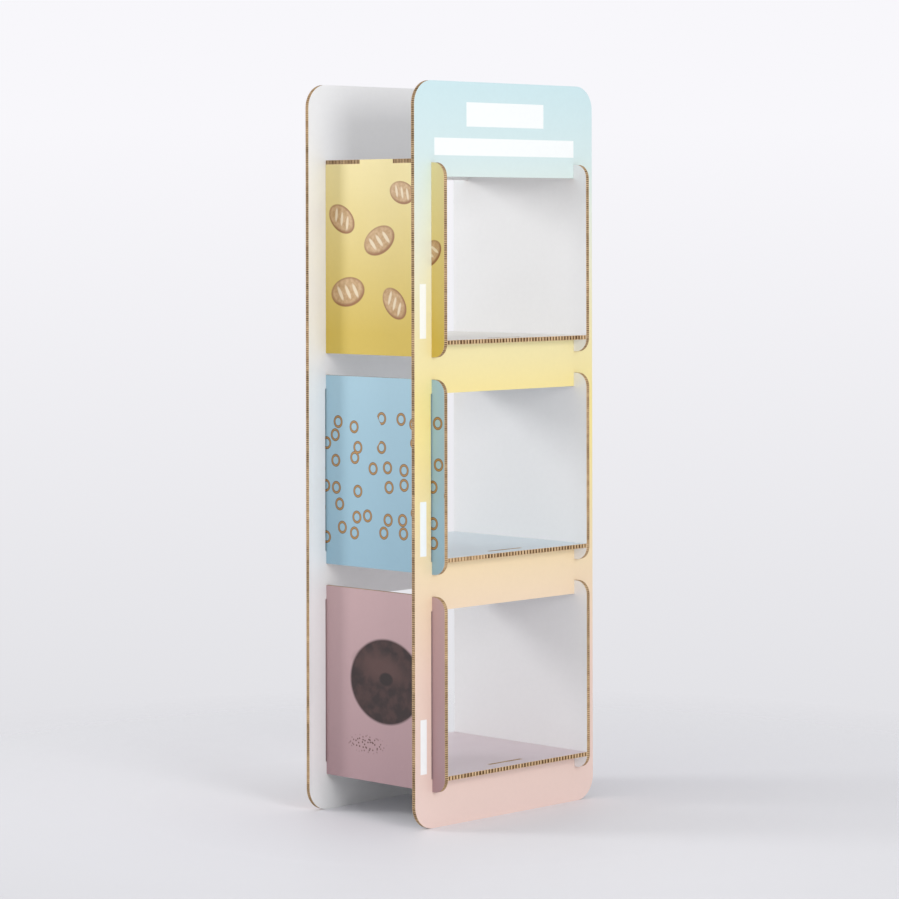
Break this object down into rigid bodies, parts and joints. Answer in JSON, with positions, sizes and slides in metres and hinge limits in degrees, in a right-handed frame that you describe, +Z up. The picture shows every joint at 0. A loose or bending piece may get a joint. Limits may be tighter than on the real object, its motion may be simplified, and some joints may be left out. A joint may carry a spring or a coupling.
{
  "type": "cardboard display stand",
  "caption": "Tall slot-together display stand of rigid board: two rounded window panels hold open-ended boxes with shelves one above another.",
  "frame": {"origin": "on the floor, at the centre of the stand's footprint", "axes": "+Z up, -Y toward the front with the printed window panel, +X to the right of someone who faces the front"},
  "size_m": [0.6, 0.44, 1.7],
  "materials": {
    "front_panel_board": "satin printed paper over a brown paper core",
    "rear_panel_board": "satin printed paper over a brown paper core",
    "rose_side_board": "satin printed paper over a brown paper core",
    "lower_shelf_board": "satin printed paper over a brown paper core",
    "blue_side_board": "satin printed paper over a brown paper core",
    "middle_shelf_board": "satin printed paper over a brown paper core",
    "yellow_side_board": "satin printed paper over a brown paper core",
    "upper_shelf_board": "satin printed paper over a brown paper core",
    "cover_board": "plain white paper over a brown paper core"
  },
  "bodies": {
    "root": {"front_panel": "front_panel_board", "rear_panel": "rear_panel_board", "lower_left_side": "rose_side_board", "lower_right_side": "rose_side_board", "lower_shelf": "lower_shelf_board", "middle_left_side": "blue_side_board", "middle_right_side": "blue_side_board", "middle_shelf": "middle_shelf_board", "upper_left_side": "yellow_side_board", "upper_right_side": "yellow_side_board", "upper_shelf": "upper_shelf_board", "top_cover": "cover_board"}
  },
  "joints": []
}
